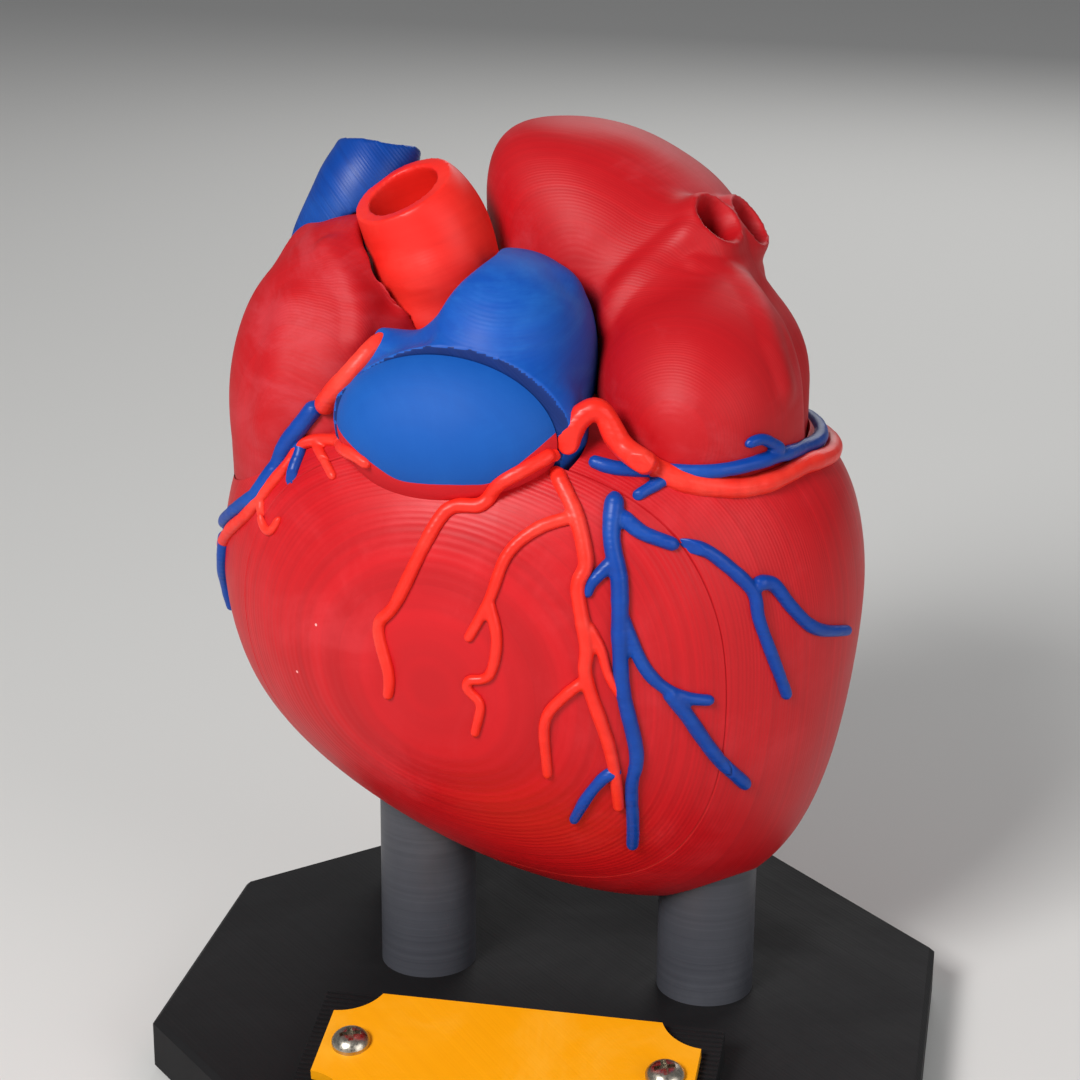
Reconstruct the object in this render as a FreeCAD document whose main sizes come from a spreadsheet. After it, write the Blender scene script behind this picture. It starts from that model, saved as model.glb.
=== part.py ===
import FreeCAD, Part

import math
import os

from FreeCAD import Placement, Rotation, Vector

# Anatomical model of the human heart on a three-post stand. The heart lifts off
# its posts and its front wall lifts off the cut face, which opens both ventricles.
# Row frame: millimetres, +Z up, the viewer stands at -Y, and the origin is the
# centre of the underside of the base.

os.makedirs("parts", exist_ok=True)
doc = FreeCAD.newDocument("HeartModel")

# ---------------------------------------------------------------- driving sizes

SIZES = [
    # stand
    ("base_across_flats", 112.0),
    ("base_thickness", 8.5),
    ("base_edge_chamfer", 0.8),
    ("post_diameter", 14.5),
    ("post_seat_depth", 8.0),
    ("post_clearance", 0.1),
    ("post_tenon_diameter", 9.0),
    ("post_tenon_length", 5.0),
    ("front_left_post_x", -20.7),
    ("front_left_post_y", 4.4),
    ("front_right_post_x", 22.2),
    ("front_right_post_y", 4.4),
    ("rear_post_x", -26.6),
    ("rear_post_y", 28.5),
    # name plate on its stepped wedge
    ("plate_width", 53.4),
    ("plate_depth", 22.0),
    ("plate_thickness", 1.6),
    ("plate_corner_along", 6.2),
    ("plate_corner_across", 4.6),
    ("plate_centre_x", -1.2),
    ("plate_rear_y", -20.0),
    ("wedge_slope_degrees", 12.0),
    ("wedge_front_height", 0.2),
    ("wedge_step_height", 0.2),
    ("wedge_side_margin", 2.6),
    ("wedge_rear_margin", 1.6),
    ("screw_inset", 4.2),
    ("screw_diameter", 3.0),
    ("screw_head_diameter", 5.5),
    ("screw_head_height", 1.7),
    ("screw_length", 6.0),
    ("screw_recess_depth", 0.8),
    ("screw_recess_width", 0.8),
    # heart: the ventricles' common outer form, measured from the heart's centre
    ("heart_clearance", 13.8),
    ("heart_centre_x", -4.45),
    ("heart_centre_y", 9.0),
    ("ventricle_half_width", 47.3),
    ("ventricle_half_depth", 34.0),
    ("ventricle_drop", 47.0),
    ("ventricle_rise", 34.0),
    ("apex_lean", 17.8),
    # cut face between the rear wall and the front wall
    ("cut_face_y", -23.1),
    ("cut_face_turn_degrees", 6.0),
    ("cut_face_tilt_degrees", 7.0),
    ("seam_gap", 0.2),
    # chambers
    ("right_free_wall", 6.5),
    ("left_free_wall", 12.0),
    ("front_back_wall", 5.5),
    ("outer_wall", 4.0),
    ("right_floor_height", 31.0),
    ("left_floor_height", 19.0),
    ("septum_x", -4.0),
    ("septum_thickness", 7.0),
    ("chamber_rise", 25.0),
    ("atrium_wall", 3.2),
    ("left_atrium_floor", 18.7),
    ("right_atrium_floor_x", -33.0),
    ("right_atrium_floor_z", 16.7),
    ("right_atrium_floor_degrees", 47.0),
    # great vessels
    ("aorta_bore_diameter", 10.6),
    ("aorta_root_diameter", 16.6),
    ("aorta_belly_diameter", 18.4),
    ("aorta_rim_diameter", 15.0),
    ("cava_root_diameter", 15.6),
    ("cava_rim_diameter", 12.0),
    ("cava_wall", 1.6),
    ("pulmonary_vein_diameter", 9.2),
    ("pulmonary_vein_bore", 7.6),
    ("left_vein_root_diameter", 21.0),
    ("right_vein_root_diameter", 16.0),
    ("vein_flare_length", 14.0),
    ("outflow_diameter", 11.0),
    ("conus_step", 1.3),
    ("conus_shift", 0.7),
    # coronary vessels
    ("artery_diameter", 1.7),
    ("circumflex_diameter", 3.0),
    ("vein_diameter", 2.2),
    # valves
    ("mitral_diameter", 14.0),
    ("tricuspid_diameter", 14.0),
    ("valve_leaflet_length", 6.0),
    ("valve_wall", 1.0),
    ("valve_slot", 0.6),
    # what holds the front wall on
    ("magnet_diameter", 4.0),
    ("magnet_height", 2.0),
    ("pin_diameter", 2.4),
    ("pin_length", 8.0),
    ("pin_clearance", 0.1),
]

sheet = doc.addObject("Spreadsheet::Sheet", "Sizes")
for row, (alias, value) in enumerate(SIZES, start=1):
    sheet.set("A%d" % row, alias)
    sheet.set("B%d" % row, repr(value))
    sheet.setAlias("B%d" % row, alias)
doc.recompute()


def size(alias):
    """A driving size, read from the sheet."""
    return float(sheet.get(alias))


def bind(feature, **formulas):
    """Ties each property of a feature to a formula over the sheet's aliases."""
    for prop, formula in formulas.items():
        feature.setExpression(prop.replace("__", "."), formula)
    return feature


HEART = Vector(
    size("heart_centre_x"),
    size("heart_centre_y"),
    size("base_thickness") + size("heart_clearance") + size("ventricle_drop"),
)
BASE_TOP = size("base_thickness")
UP = Vector(0, 0, 1)

# ---------------------------------------------------------------- building blocks


def feature(name, shape):
    """A plain document object that holds a shape made by Part's own functions."""
    made = doc.addObject("Part::Feature", name)
    made.Shape = shape
    return made


def combine(kind, name, shapes):
    """Part::MultiFuse or Part::MultiCommon of several objects."""
    made = doc.addObject(kind, name)
    made.Refine = False
    made.Shapes = shapes
    return made


def join(name, base, others):
    """The base with each other object joined to it in turn, as a chain of Part::Fuse."""
    for step, other in enumerate(others, start=1):
        last = step == len(others)
        made = doc.addObject("Part::Fuse", name if last else "%s_join_%d" % (name, step))
        made.Refine = False
        made.Base = base
        made.Tool = other
        base = made
    return made


def cut(name, base, tools):
    """The base with each tool taken away in turn, as a chain of Part::Cut."""
    made = base
    for step, tool in enumerate(tools, start=1):
        last = step == len(tools)
        made = doc.addObject("Part::Cut", name if last else "%s_cut_%d" % (name, step))
        made.Refine = False
        made.Base = base
        made.Tool = tool
        base = made
    return made


def cylinder(name, radius, height, placement):
    """A Part::Cylinder whose radius and height are formulas over the sheet."""
    made = bind(doc.addObject("Part::Cylinder", name), Radius=radius, Height=height)
    made.Placement = placement
    return made


def toward(point, axis):
    """Places an object's own +Z along an axis, with its origin at a point."""
    return Placement(point, Rotation(UP, axis))


RING_POINTS = 16
PROFILE_STEPS = 10


def lump(centre, half_width, half_depth, drop, rise,
         drop_fullness=2.0, rise_fullness=2.0, drop_lean=(0, 0), rise_lean=(0, 0), bend=0.0):
    """A closed egg-like form: elliptical rings from the lowest point to the highest.

    A fullness of 2 is an ellipse, and more is squarer. A lean shifts the lowest or
    highest point sideways, and bend adds a part that grows evenly with the height.
    """
    rows = []
    for step in range(PROFILE_STEPS + 1):
        level = math.sin(math.pi * (step / PROFILE_STEPS - 0.5))
        below = level < 0
        reach, fullness, lean = ((drop, drop_fullness, drop_lean) if below
                                 else (rise, rise_fullness, rise_lean))
        part_up = abs(level)
        ring = max(0.0, 1.0 - part_up ** fullness) ** (1.0 / fullness)
        if step in (0, PROFILE_STEPS):
            ring = 0.0
        shift_x = lean[0] * part_up ** 2 + (bend * part_up if below else 0.0)
        shift_y = lean[1] * part_up ** 2
        middle = centre + Vector(shift_x, shift_y, reach * level)
        row = []
        for point in range(RING_POINTS):
            angle = 2 * math.pi * point / RING_POINTS + math.pi / 2
            row.append(middle + Vector(half_width * ring * math.cos(angle),
                                       half_depth * ring * math.sin(angle), 0))
        rows.append(row)
    return ringed_solid(rows)


def ringed_solid(rows):
    """A solid with one smooth skin through closed rows of points, ends closed to a point."""
    ring_marks = [point / RING_POINTS for point in range(RING_POINTS + 1)]
    row_marks = [step / (len(rows) - 1) for step in range(len(rows))]
    ring_curves = []
    for row in rows[1:-1]:
        curve = Part.BSplineCurve()
        curve.interpolate(Points=row, PeriodicFlag=True, Parameters=ring_marks)
        ring_curves.append(curve)
    model = ring_curves[0]
    pole_rows = [[rows[0][0]] * model.NbPoles]
    pole_rows += [curve.getPoles() for curve in ring_curves]
    pole_rows += [[rows[-1][0]] * model.NbPoles]
    columns = []
    for index in range(model.NbPoles):
        column = Part.BSplineCurve()
        column.interpolate(Points=[poles[index] for poles in pole_rows], Parameters=row_marks)
        columns.append(column)
    skin = Part.BSplineSurface()
    skin.buildFromPolesMultsKnots(
        [column.getPoles() for column in columns],
        model.getMultiplicities(), columns[0].getMultiplicities(),
        model.getKnots(), columns[0].getKnots(),
        True, False, model.Degree, columns[0].Degree)
    quarters = []
    for quarter in range(4):
        patch = skin.copy()
        patch.segment(quarter / 4, (quarter + 1) / 4, 0, 1)
        quarters.append(patch.toShape())
    shell = Part.Shell(quarters)
    shell.sewShape()
    solid = Part.Solid(Part.Shell(shell.Faces))
    return solid


def tube(points, diameters):
    """A smooth closed solid through round sections, each square to the way it runs."""
    rings = []
    for index, point in enumerate(points):
        before = points[max(index - 1, 0)]
        after = points[min(index + 1, len(points) - 1)]
        along = (after - before).normalize()
        rings.append(Part.Wire([Part.Circle(point, along, diameters[index] / 2).toShape()]))
    return Part.makeLoft(rings, True, False)


# ---------------------------------------------------------------- outer forms

VENTRICLES = dict(
    centre=HEART, half_width=size("ventricle_half_width"), half_depth=size("ventricle_half_depth"),
    drop=size("ventricle_drop"), rise=size("ventricle_rise"),
    drop_fullness=1.87, rise_fullness=3.0, drop_lean=(size("apex_lean") + 2.0, 0), bend=-2.0)
ventricle_form = feature("ventricle_form", lump(**VENTRICLES))


def at_heart(x, y, z):
    """A point given from the heart's centre."""
    return HEART + Vector(x, y, z)


# Each lump: centre from the heart's centre, half width, half depth, drop, rise, shape.
ATRIUM_RIGHT = dict(centre=at_heart(-29.3, -1.5, 28.7), half_width=16.3, half_depth=18.0,
                    drop=31.0, rise=25.0, drop_lean=(-7.5, 0), rise_lean=(3, 3))
ATRIUM_LEFT = dict(centre=at_heart(9.45, 16.5, 40.7), half_width=20.3, half_depth=20.0,
                   drop=30.0, rise=25.5, rise_fullness=2.4, rise_lean=(-9.5, 0))
APPENDAGE_LEFT = dict(centre=at_heart(23.45, -1, 31.7), half_width=15.8, half_depth=23.0,
                      drop=20.0, rise=17.0)
SHOULDER_LEFT = dict(centre=at_heart(17.6, 5, 41), half_width=14.0, half_depth=14.5,
                     drop=14.0, rise=11.5)
DOME = dict(centre=at_heart(-7.7, -23, 30.4), half_width=16.4, half_depth=10.5,
            drop=11.5, rise=11.7)
TRUNK = dict(centre=at_heart(-3.15, -11.5, 36.2), half_width=13.0, half_depth=16.5,
             drop=16.0, rise=16.2, rise_fullness=2.2, drop_lean=(3.5, 0))


def grown(form, by):
    """The same lump with every half size larger by a distance, or smaller if negative."""
    changed = dict(form)
    for key in ("half_width", "half_depth", "drop", "rise"):
        changed[key] = form[key] + by
    return changed


CONUS = grown(DOME, size("conus_step"))
CONUS["centre"] = DOME["centre"] + Vector(size("conus_shift"), 0, 0)


def half_space(name, point, normal):
    """A large block that fills the side of a plane its normal points to."""
    reach = 200.0
    block = doc.addObject("Part::Box", name)
    block.Length = block.Width = block.Height = 2 * reach
    turn = Rotation(UP, normal)
    block.Placement = Placement(point - turn.multVec(Vector(reach, reach, 0)), turn)
    return block


right_atrium_whole = feature("right_atrium_whole", lump(**ATRIUM_RIGHT))
left_atrium_whole = feature("left_atrium_whole", lump(**ATRIUM_LEFT))
appendage_whole = feature("appendage_whole", lump(**APPENDAGE_LEFT))
shoulder_whole = feature("shoulder_whole", lump(**SHOULDER_LEFT))
conus_form = feature("conus_form", lump(**CONUS))
trunk_form = feature("trunk_form", lump(**TRUNK))

# The floor of each atrium is flat: the left one level, the right one leaning to its side.
floor_angle = math.radians(size("right_atrium_floor_degrees"))
RIGHT_FLOOR_NORMAL = Vector(-math.sin(floor_angle), 0, math.cos(floor_angle))
RIGHT_FLOOR_POINT = at_heart(size("right_atrium_floor_x"), 0, size("right_atrium_floor_z"))
LEFT_FLOOR_POINT = at_heart(0, 0, size("left_atrium_floor"))

right_side = half_space("right_side", RIGHT_FLOOR_POINT, RIGHT_FLOOR_NORMAL)
left_side = half_space("left_side", LEFT_FLOOR_POINT, UP)
right_block = combine("Part::MultiCommon", "right_block", [right_atrium_whole, right_side])
left_whole = join("left_whole", left_atrium_whole, [appendage_whole, shoulder_whole])
left_block = combine("Part::MultiCommon", "left_block", [left_whole, left_side])

# ---------------------------------------------------------------- cut face

turn_angle = math.radians(size("cut_face_turn_degrees"))
tilt_angle = math.radians(size("cut_face_tilt_degrees"))
CUT_NORMAL = Vector(-math.sin(turn_angle) * math.cos(tilt_angle),
                    -math.cos(turn_angle) * math.cos(tilt_angle),
                    -math.sin(tilt_angle))
CUT_POINT = at_heart(-HEART.x, size("cut_face_y"), 0)
half_gap = CUT_NORMAL * (size("seam_gap") / 2)

front_side = half_space("front_side", CUT_POINT + half_gap, CUT_NORMAL)
rear_side = half_space("rear_side", CUT_POINT - half_gap, CUT_NORMAL * -1)


def on_cut_face(x, z):
    """The point of the cut face at a place given from the heart's centre."""
    flat = at_heart(x, 0, z) - CUT_POINT
    return at_heart(x, -(flat.x * CUT_NORMAL.x + flat.y * CUT_NORMAL.y + flat.z * CUT_NORMAL.z)
                    / CUT_NORMAL.y, z)


# ---------------------------------------------------------------- chambers

half_septum = size("septum_thickness") / 2
chamber_half_depth = size("ventricle_half_depth") - size("front_back_wall")
right_edge = size("right_free_wall") - size("ventricle_half_width")
left_edge = size("ventricle_half_width") - size("left_free_wall")
RIGHT_CHAMBER = dict(
    centre=at_heart((right_edge + size("septum_x") - half_septum) / 2, 0, 0),
    half_width=(size("septum_x") - half_septum - right_edge) / 2,
    half_depth=chamber_half_depth,
    drop=size("ventricle_drop") - size("right_floor_height"),
    rise=size("chamber_rise"), drop_lean=(3, 0))
LEFT_CHAMBER = dict(
    centre=at_heart((left_edge + size("septum_x") + half_septum) / 2, 0, 0),
    half_width=(left_edge - size("septum_x") - half_septum) / 2,
    half_depth=chamber_half_depth,
    drop=size("ventricle_drop") - size("left_floor_height"),
    rise=size("chamber_rise"), drop_lean=(2, 0))
# Neither chamber comes nearer to the outer skin than the outer wall allows.
ventricle_inner = feature("ventricle_inner", lump(**grown(VENTRICLES, -size("outer_wall"))))
right_chamber = combine("Part::MultiCommon", "right_chamber", [
    feature("right_hollow", lump(**RIGHT_CHAMBER)), ventricle_inner])
left_chamber = combine("Part::MultiCommon", "left_chamber", [
    feature("left_hollow", lump(**LEFT_CHAMBER)), ventricle_inner])

wall = size("atrium_wall")
right_inner = combine("Part::MultiCommon", "right_inner", [
    feature("right_atrium_inner", lump(**grown(ATRIUM_RIGHT, -wall))),
    half_space("right_inner_side", RIGHT_FLOOR_POINT + RIGHT_FLOOR_NORMAL * wall, RIGHT_FLOOR_NORMAL)])
left_inner = combine("Part::MultiCommon", "left_inner", [
    combine("Part::MultiFuse", "left_inner_whole", [
        feature("left_atrium_inner", lump(**grown(ATRIUM_LEFT, -wall))),
        feature("appendage_inner", lump(**grown(APPENDAGE_LEFT, -wall)))]),
    half_space("left_inner_side", LEFT_FLOOR_POINT + UP * wall, UP)])

# ---------------------------------------------------------------- great vessels

AORTA_PATH = [at_heart(-4, 1, 20), at_heart(-11.2, 0.2, 31), at_heart(-13.85, -0.5, 40.7),
              at_heart(-15.85, -1, 48.7), at_heart(-20.05, -2, 58.3)]
CAVA_PATH = [at_heart(-31.05, 8, 46.7), at_heart(-29.6, 9, 53), at_heart(-27.1, 10.6, 60),
             at_heart(-26.8, 10.8, 62)]
LOWER_CAVA_PATH = [at_heart(-30, 20, 30), at_heart(-31, 27, 24), at_heart(-31.5, 33, 18)]

root, belly, rim = size("aorta_root_diameter"), size("aorta_belly_diameter"), size("aorta_rim_diameter")
aorta_form = feature("aorta_form", tube(AORTA_PATH, [root - 2, root, belly - 0.6, belly, rim]))
beyond = (AORTA_PATH[-1] - AORTA_PATH[-2]).normalize()
below = LEFT_CHAMBER["centre"] + Vector(0, 0, 8)
bore_path = [below] + AORTA_PATH + [AORTA_PATH[-1] + beyond * 4]
aorta_bore = feature("aorta_bore", tube(bore_path, [size("aorta_bore_diameter")] * len(bore_path)))

cava_root, cava_rim = size("cava_root_diameter"), size("cava_rim_diameter")
upper_cava_diameters = [cava_root, cava_root - 1, cava_rim + 0.6, cava_rim]
lower_cava_diameters = [cava_root, cava_root - 0.6, cava_rim]
cava_form = feature("cava_form", tube(CAVA_PATH, upper_cava_diameters))
lower_cava_form = feature("lower_cava_form", tube(LOWER_CAVA_PATH, lower_cava_diameters))


def bore_along(name, path, diameters, margin=5.0):
    """The hollow of a stub: its own path, run on past both ends, less its wall."""
    start = path[0] - (path[1] - path[0]).normalize() * margin
    end = path[-1] + (path[-1] - path[-2]).normalize() * margin
    inner = [diameter - 2 * size("cava_wall") for diameter in diameters]
    return feature(name, tube([start] + path + [end], [inner[0]] + inner + [inner[-1]]))


cava_bore = bore_along("cava_bore", CAVA_PATH, upper_cava_diameters)
lower_cava_bore = bore_along("lower_cava_bore", LOWER_CAVA_PATH, lower_cava_diameters)

outflow = feature("outflow", tube(
    [at_heart(-19, -5, 6), at_heart(-13, -11, 26), at_heart(-5, -11, 36)],
    [size("outflow_diameter")] * 3))
trunk_inner = feature("trunk_inner", lump(**grown(TRUNK, -wall)))

# Left and right pulmonary veins: the left atrium flares out to the rim of each one.
SPOUTS = [
    ("left_lower_spout", "left_vein_root_diameter",
     at_heart(24.52, 3, 55.4), Vector(0.648, -0.293, 0.703)),
    ("left_upper_spout", "left_vein_root_diameter",
     at_heart(28.05, 11.5, 53.6), Vector(0.774, -0.051, 0.629)),
    ("right_upper_spout", "right_vein_root_diameter",
     at_heart(-9.5, 30, 54.5), Vector(-0.80, 0.25, 0.55)),
    ("right_lower_spout", "right_vein_root_diameter",
     at_heart(-12.5, 30, 42.0), Vector(-0.96, 0.20, 0.10)),
]
spout_forms = []
spout_bores = []
for name, root_diameter, mouth, axis in SPOUTS:
    axis = axis.normalize()
    spout = bind(doc.addObject("Part::Cone", name), Radius1="Sizes.%s / 2" % root_diameter,
                 Radius2="Sizes.pulmonary_vein_diameter / 2", Height="Sizes.vein_flare_length")
    spout.Placement = toward(mouth - axis * size("vein_flare_length"), axis)
    spout_forms.append(spout)
    bore_depth = size("vein_flare_length") + size("atrium_wall")
    spout_bores.append(cylinder(name + "_bore", "Sizes.pulmonary_vein_bore / 2",
                                "Sizes.vein_flare_length + 2 * Sizes.atrium_wall",
                                toward(mouth - axis * bore_depth, axis)))

# ---------------------------------------------------------------- valves

MITRAL_POINT = at_heart(15, 10, size("left_atrium_floor"))
TRICUSPID_POINT = RIGHT_FLOOR_POINT + Vector(0, -1, 0)


def valve(name, diameter, cusps, place):
    """A ring with thin leaflets below it that lean together, parted by narrow slots."""
    ring_height = size("atrium_wall")
    length = size("valve_leaflet_length")
    skin = size("valve_wall")
    outer = size(diameter) / 2
    ring = Part.makeCylinder(outer, ring_height)
    ring = ring.cut(Part.makeCylinder(outer - 1.5 * skin, ring_height))
    lower = outer * 0.45
    funnel = Part.makeCone(lower, outer - 0.5 * skin, length, Vector(0, 0, -length))
    funnel = funnel.cut(Part.makeCone(lower - skin, outer - 1.5 * skin, length, Vector(0, 0, -length)))
    for cusp in range(cusps):
        slot = Part.makeBox(outer, size("valve_slot"), length,
                            Vector(0, -size("valve_slot") / 2, -length - 1))
        slot.rotate(Vector(), UP, 360.0 * cusp / cusps)
        funnel = funnel.cut(slot)
    made = feature(name, ring.fuse(funnel).removeSplitter())
    made.Placement = place
    return made


mitral_place = toward(MITRAL_POINT, UP)
tricuspid_place = toward(TRICUSPID_POINT, RIGHT_FLOOR_NORMAL)
mitral_bore = cylinder("mitral_bore", "Sizes.mitral_diameter / 2", "Sizes.atrium_wall + 4",
                       toward(MITRAL_POINT - UP * 2, UP))
tricuspid_bore = cylinder("tricuspid_bore", "Sizes.tricuspid_diameter / 2", "Sizes.atrium_wall + 4",
                          toward(TRICUSPID_POINT - RIGHT_FLOOR_NORMAL * 2, RIGHT_FLOOR_NORMAL))

# ---------------------------------------------------------------- posts and sockets

POSTS = ["front_left_post", "front_right_post", "rear_post"]


def underside(x, y):
    """The height at which an upright line first meets the ventricles' outer form."""
    line = Part.makeLine(Vector(x, y, 0), Vector(x, y, HEART.z))
    return min(vertex.Z for vertex in line.common(ventricle_form.Shape).Vertexes)


post_tops = {}
sockets = []
for post in POSTS:
    x, y = size(post + "_x"), size(post + "_y")
    top = underside(x, y) + size("post_seat_depth")
    post_tops[post] = top
    sockets.append(cylinder(post + "_socket", "Sizes.post_diameter / 2 + Sizes.post_clearance",
                            "%r mm" % top, Placement(Vector(x, y, 0), Rotation())))

# ---------------------------------------------------------------- pins and magnets

PIN_SPOTS = [(-4.0, 11.0), (-4.0, -20.0)]
MAGNET_SPOTS = [(-4.0, -1.0), (12.0, -24.0), (-13.0, -20.0)]
pins = []
pin_sockets = []
for number, (x, z) in enumerate(PIN_SPOTS, start=1):
    middle = on_cut_face(x, z)
    start = middle - CUT_NORMAL * (size("pin_length") / 2)
    pins.append(cylinder("pin_%d" % number, "Sizes.pin_diameter / 2", "Sizes.pin_length",
                         toward(start, CUT_NORMAL)))
    pin_sockets.append(cylinder("pin_socket_%d" % number, "Sizes.pin_diameter / 2 + Sizes.pin_clearance",
                                "Sizes.pin_length / 2 + 0.5", toward(middle, CUT_NORMAL)))
rear_magnets = []
front_magnets = []
for number, (x, z) in enumerate(MAGNET_SPOTS, start=1):
    middle = on_cut_face(x, z)
    rear_magnets.append(cylinder("rear_magnet_%d" % number, "Sizes.magnet_diameter / 2",
                                 "Sizes.magnet_height",
                                 toward(middle - half_gap, CUT_NORMAL * -1)))
    front_magnets.append(cylinder("front_magnet_%d" % number, "Sizes.magnet_diameter / 2",
                                  "Sizes.magnet_height", toward(middle + half_gap, CUT_NORMAL)))

# ---------------------------------------------------------------- heart pieces

aorta = cut("aorta", aorta_form, [aorta_bore, ventricle_form])
trunk_whole = combine("Part::MultiFuse", "trunk_whole", [conus_form, trunk_form])
trunk_rear = combine("Part::MultiCommon", "trunk_rear", [trunk_whole, rear_side])
pulmonary_trunk = cut("pulmonary_trunk", trunk_rear, [aorta_form, outflow, trunk_inner])
right_atrium = cut("right_atrium", right_block,
                   [right_inner, aorta_form, trunk_whole, cava_bore, lower_cava_bore, tricuspid_bore])
left_atrium_outer = join("left_atrium_outer", left_block, spout_forms)
left_atrium = cut("left_atrium", left_atrium_outer,
                  [left_inner, aorta_form, trunk_whole, right_block, mitral_bore] + spout_bores)
superior_vena_cava = cut("superior_vena_cava", cava_form, [right_block, cava_bore])
inferior_vena_cava = cut("inferior_vena_cava", lower_cava_form,
                         [right_block, left_block, lower_cava_bore, ventricle_form])
ventricle_rear = combine("Part::MultiCommon", "ventricle_rear", [ventricle_form, rear_side])
rear_heart_wall = cut("rear_heart_wall", ventricle_rear,
                      [right_chamber, left_chamber, right_block, left_block, trunk_whole, aorta_bore,
                       outflow] + sockets + pins + rear_magnets)
dome_form = feature("dome_form", lump(**DOME))
ventricle_front = combine("Part::MultiCommon", "ventricle_front", [ventricle_form, front_side])
front_heart_wall = cut("front_heart_wall", ventricle_front,
                       [right_chamber, left_chamber, dome_form] + pin_sockets + front_magnets)
conus_dome = combine("Part::MultiCommon", "conus_dome", [dome_form, front_side])

mitral_valve = valve("mitral_valve", "mitral_diameter", 2, mitral_place)
tricuspid_valve = valve("tricuspid_valve", "tricuspid_diameter", 3, tricuspid_place)
locating_pins = doc.addObject("Part::Compound", "locating_pins")
locating_pins.Links = pins
rear_magnet_set = doc.addObject("Part::Compound", "rear_magnets")
rear_magnet_set.Links = rear_magnets
front_magnet_set = doc.addObject("Part::Compound", "front_magnets")
front_magnet_set.Links = front_magnets

# ---------------------------------------------------------------- coronary vessels

# A branch is its first and last diameter, as shares of its tree's, and the places it
# runs through: degrees round the heart from the front, positive to the viewer's right,
# and the height above the heart's centre. Each place lies on the outer skin, or at a
# distance from the heart's axis where a third value gives one.
ANTERIOR_DESCENDING = [
    (1.1, 0.8, [(14, 29), (15, 26), (19, 21.5), (21, 15), (19, 12), (21, 3.5), (21, -1), (27, -12),
                (31, -22.5)]),
    (1.0, 0.75, [(14, 29), (6, 27), (0, 25), (-4, 22), (-11, 21.5), (-15, 19), (-23, 7.5), (-27, 4),
                 (-25, -3), (-26, -7)]),
    (0.9, 0.65, [(18, 21), (10, 19.5), (3, 16), (-1, 9.5), (-6, 3.5)]),
    (0.8, 0.6, [(-1, 9.5), (1, 4), (-1, -1.5), (-6, -2.2), (-6, -4), (-3, -5.6), (-5, -11)]),
    (0.8, 0.65, [(21, -1.2), (16, -4), (12, -8), (13, -17)]),
    (0.75, 0.6, [(21, 7), (24, 3.4), (26, -0.8), (31, -6)]),
]
LATERAL_TIP = (0.95, 0.8, [(38, -3), (42, -6.6), (50, -14.3), (59, -20.6)])
GREAT_CARDIAC = [
    (1.1, 1.1, [(29, 24), (27, 19.7), (27, 16.8), (28, 13), (28, 4.5), (29, -3), (33, -13), (33, -19),
                (37, -30)]),
    (0.85, 0.6, [(27, 15.5), (22, 12.5), (21, 10.5)]),
    (1.0, 0.9, [(29, 21.5), (33, 19.2), (36, 18)]),
    (0.8, 0.7, [(28, 8.5), (33, 0.7), (38, -3), (43, -4.7), (48, -5.4)]),
    LATERAL_TIP,
    (0.8, 0.6, [(30, -15.6), (27, -16.2), (23, -20), (20, -25)]),
]
LATERAL = [
    (1.0, 0.75, [(35, 19.2), (39, 17.3), (45, 16.6), (49, 14.7), (55, 10), (56, 6), (59, 0.4), (64, -7.3)]),
    (0.9, 0.65, [(55, 10.8), (59, 10.6), (63, 6.6), (69, 2.3), (80, -0.6)]),
    LATERAL_TIP,
]
CIRCUMFLEX = [
    (1.0, 0.8, [(18, 28.8), (22, 30.7, 27), (29, 32, 25.5), (35, 30.7, 26.8), (39, 27), (48, 23.4),
                (61, 22.1), (77, 23.2), (89, 22.8), (100, 23), (115, 22), (130, 20.5)]),
]
CORONARY_SINUS = [
    (0.8, 1.1, [(24, 27.5), (32, 26.5), (49, 26.1), (66, 26.7), (80, 25.6), (92, 25), (100, 25), (115, 24.2),
                (130, 23), (150, 21), (170, 19.5)]),
    (0.85, 0.6, [(68, 27.3), (61, 30), (57, 29.5)]),
    (0.85, 0.6, [(44, 25.8), (38, 24.4), (33, 23.2)]),
]
MARGINAL = [
    (0.8, 0.9, [(-30, 26.3), (-35, 27.3), (-43, 27), (-57, 25.6), (-59, 21.3), (-65, 14.3), (-72, 10),
                (-79, 5.4)]),
    (0.7, 0.6, [(-55, 25.5), (-49, 24), (-44, 22.3)]),
    (0.7, 0.55, [(-62, 16.6), (-60, 13.6), (-57, 12.8), (-55, 15.5)]),
]
SMALL_CARDIAC = [
    (1.1, 0.9, [(-57, 31.2), (-59, 27.5), (-61, 24), (-63, 17.7), (-68, 14.6), (-79, 9)]),
    (0.8, 0.6, [(-58, 25.5), (-55, 19.2), (-57, 15), (-59, 11)]),
    (0.9, 0.7, [(-76, 8.5), (-78, 4), (-82, -1), (-84, -6)]),
]
RIGHT_CORONARY = [
    (1.0, 1.0, [(-45, 41.2, 23.5), (-44, 40.2, 27.5), (-43, 38.8, 31.5), (-42, 36.8), (-44, 35.3),
                (-50, 33.3), (-57, 31.7)]),
]

REAR_SKINS = [ventricle_form, right_block, left_block, conus_form, trunk_form]
FRONT_SKINS = [ventricle_form, dome_form]


def skin_point(skins, angle, height, reach=0.0):
    """The outermost point of the skins on a level line from the heart's axis, or one at a given reach."""
    turn = math.radians(angle)
    outward = Vector(math.sin(turn), -math.cos(turn), 0)
    start = at_heart(0, 0, height)
    if not reach:
        line = Part.makeLine(start, start + outward * 90)
        for skin in skins:
            met = line.common(skin.Shape)
            reach = max([reach] + [(vertex.Point - start).dot(outward) for vertex in met.Vertexes])
    return start + outward * reach


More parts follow.
